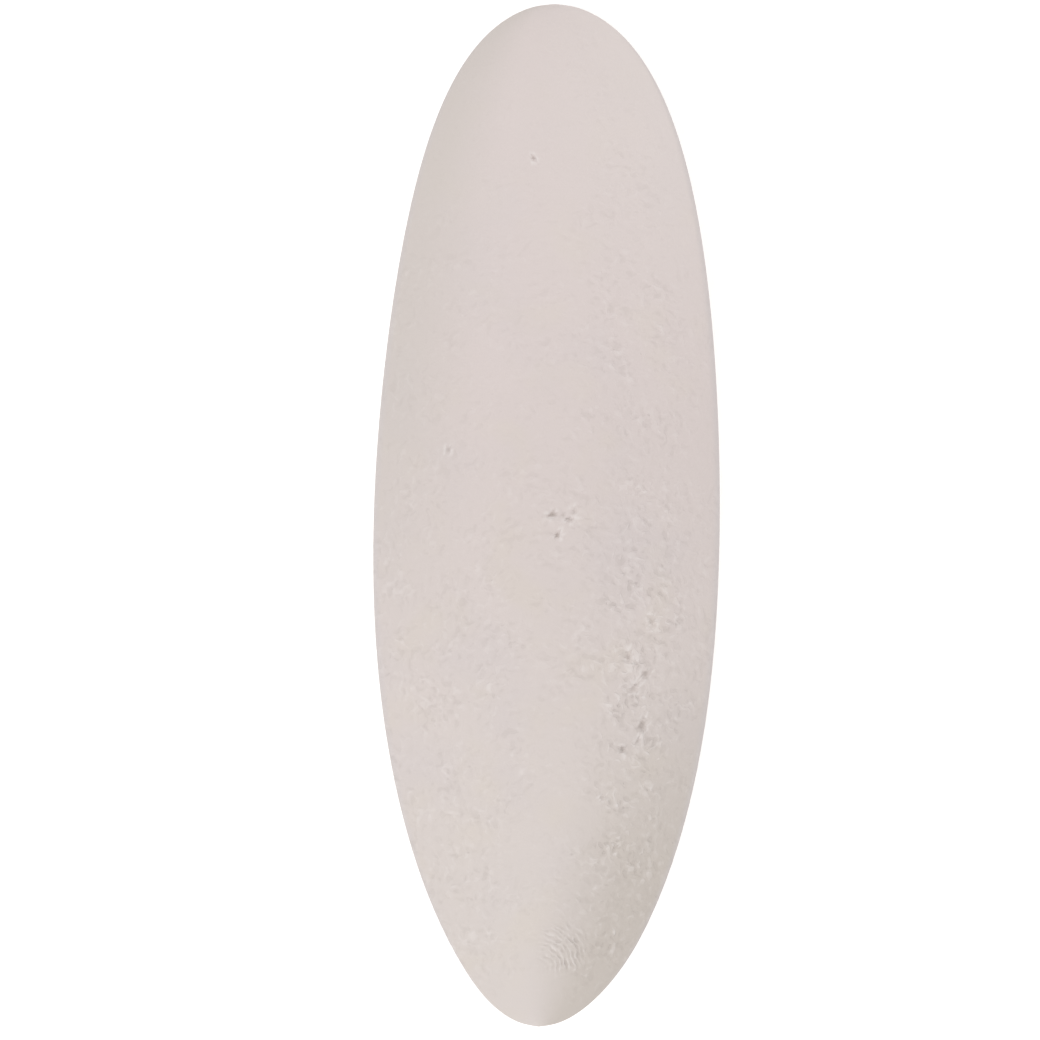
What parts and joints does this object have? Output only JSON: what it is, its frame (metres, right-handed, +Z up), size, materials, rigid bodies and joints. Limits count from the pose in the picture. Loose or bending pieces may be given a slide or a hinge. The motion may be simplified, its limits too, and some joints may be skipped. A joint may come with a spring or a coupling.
{
  "type": "cuttlebone",
  "caption": "Cuttlebone: the long oval chalky inner shell of a cuttlefish, lying on its belly, with a low-arched back, a thin brim and a chambered belly bulge.",
  "frame": {"origin": "under the middle of the bone's length and width, on the surface it rests on", "axes": "+Y along the bone towards its broad, rounded head end; +Z up, out of the back; +X to the right seen from above with the head end away from the viewer"},
  "size_m": [0.051, 0.15, 0.0176],
  "materials": {
    "chalky_aragonite": "matte, chalky, finely granular"
  },
  "bodies": {
    "root": {"cuttlebone": "chalky_aragonite"}
  },
  "joints": []
}
